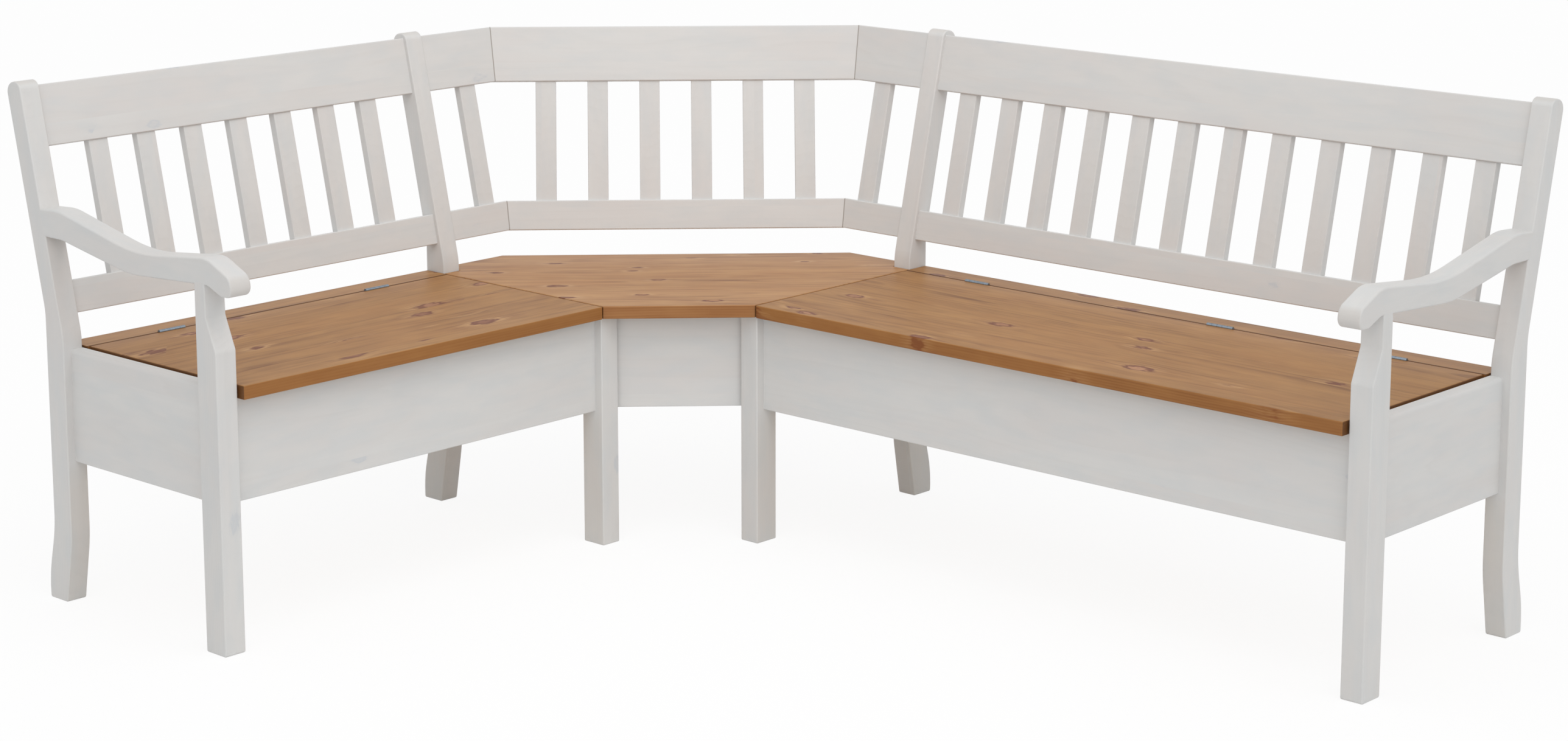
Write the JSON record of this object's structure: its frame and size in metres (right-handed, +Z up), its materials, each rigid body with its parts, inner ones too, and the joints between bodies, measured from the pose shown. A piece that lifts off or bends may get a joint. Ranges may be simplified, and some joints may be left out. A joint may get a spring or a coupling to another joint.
{
  "type": "corner storage bench",
  "caption": "L-shaped corner bench: two chests with hinged seats, a fixed corner seat, slatted sloping back and curved armrests.",
  "frame": {"origin": "on the floor, at the middle of the box round the whole bench", "axes": "+X along the long bench away from the corner, -Y along the short bench away from the corner, +Z up"},
  "size_m": [2.0843, 1.6443, 0.9168],
  "materials": {
    "white_glaze": "pine under a thin white glaze, satin",
    "stained_seat": "honey-stained knotty pine, satin lacquer",
    "raw_pine": "bare planed pine",
    "beech_dowel": "bare turned beech",
    "zinc_hinge": "bright zinc-plated steel",
    "zinc_screw": "bright zinc-plated steel"
  },
  "bodies": {
    "frame": {"arm_dowels": "beech_dowel", "corner_apron": "white_glaze", "corner_apron_blocks": "raw_pine", "corner_back_dowels": "beech_dowel", "corner_diagonal_lower_rail": "white_glaze", "corner_diagonal_slats": "white_glaze", "corner_diagonal_top_rail": "white_glaze", "corner_long_lower_rail": "white_glaze", "corner_long_slat": "white_glaze", "corner_long_top_rail": "white_glaze", "corner_mitre_dowels": "beech_dowel", "corner_seat": "stained_seat", "corner_seat_battens": "raw_pine", "corner_short_lower_rail": "white_glaze", "corner_short_slat": "white_glaze", "corner_short_top_rail": "white_glaze", "hinge_pins": "zinc_hinge", "long_armrest": "white_glaze", "long_back_slats": "white_glaze", "long_bottom_cleats": "raw_pine", "long_chest_bottom": "raw_pine", "long_corner_post": "white_glaze", "long_front_panel": "white_glaze", "long_hinge_strip": "stained_seat", "long_hinge_strip_leaves": "zinc_hinge", "long_inner_leg": "white_glaze", "long_inner_side_panel": "white_glaze", "long_lower_rail": "white_glaze", "long_outer_leg": "white_glaze", "long_outer_post": "white_glaze", "long_outer_side_panel": "white_glaze", "long_rear_panel": "white_glaze", "long_top_rail": "white_glaze", "short_armrest": "white_glaze", "short_back_slats": "white_glaze", "short_bottom_cleats": "raw_pine", "short_chest_bottom": "raw_pine", "short_corner_post": "white_glaze", "short_front_panel": "white_glaze", "short_hinge_strip": "stained_seat", "short_hinge_strip_leaves": "zinc_hinge", "short_inner_leg": "white_glaze", "short_inner_side_panel": "white_glaze", "short_lower_rail": "white_glaze", "short_outer_leg": "white_glaze", "short_outer_post": "white_glaze", "short_outer_side_panel": "white_glaze", "short_rear_panel": "white_glaze", "short_top_rail": "white_glaze", "strip_screws": "zinc_screw"},
    "short_lid": {"short_lid": "stained_seat", "short_lid_battens": "raw_pine", "short_hinge_lid_leaves": "zinc_hinge", "short_lid_screws": "zinc_screw", "short_batten_screws": "zinc_screw"},
    "long_lid": {"long_lid": "stained_seat", "long_lid_battens": "raw_pine", "long_hinge_lid_leaves": "zinc_hinge", "long_lid_screws": "zinc_screw", "long_batten_screws": "zinc_screw"}
  },
  "joints": [
    {"name": "short_lid_hinge", "type": "hinge", "parent": "frame", "child": "short_lid", "pos_m": [-0.89584, -0.36466, 0.4605], "axis": [0, -1, 0], "range_deg": [0, 104]},
    {"name": "long_lid_hinge", "type": "hinge", "parent": "frame", "child": "long_lid", "pos_m": [0.36466, 0.67584, 0.4605], "axis": [-1, 0, 0], "range_deg": [0, 104]}
  ]
}
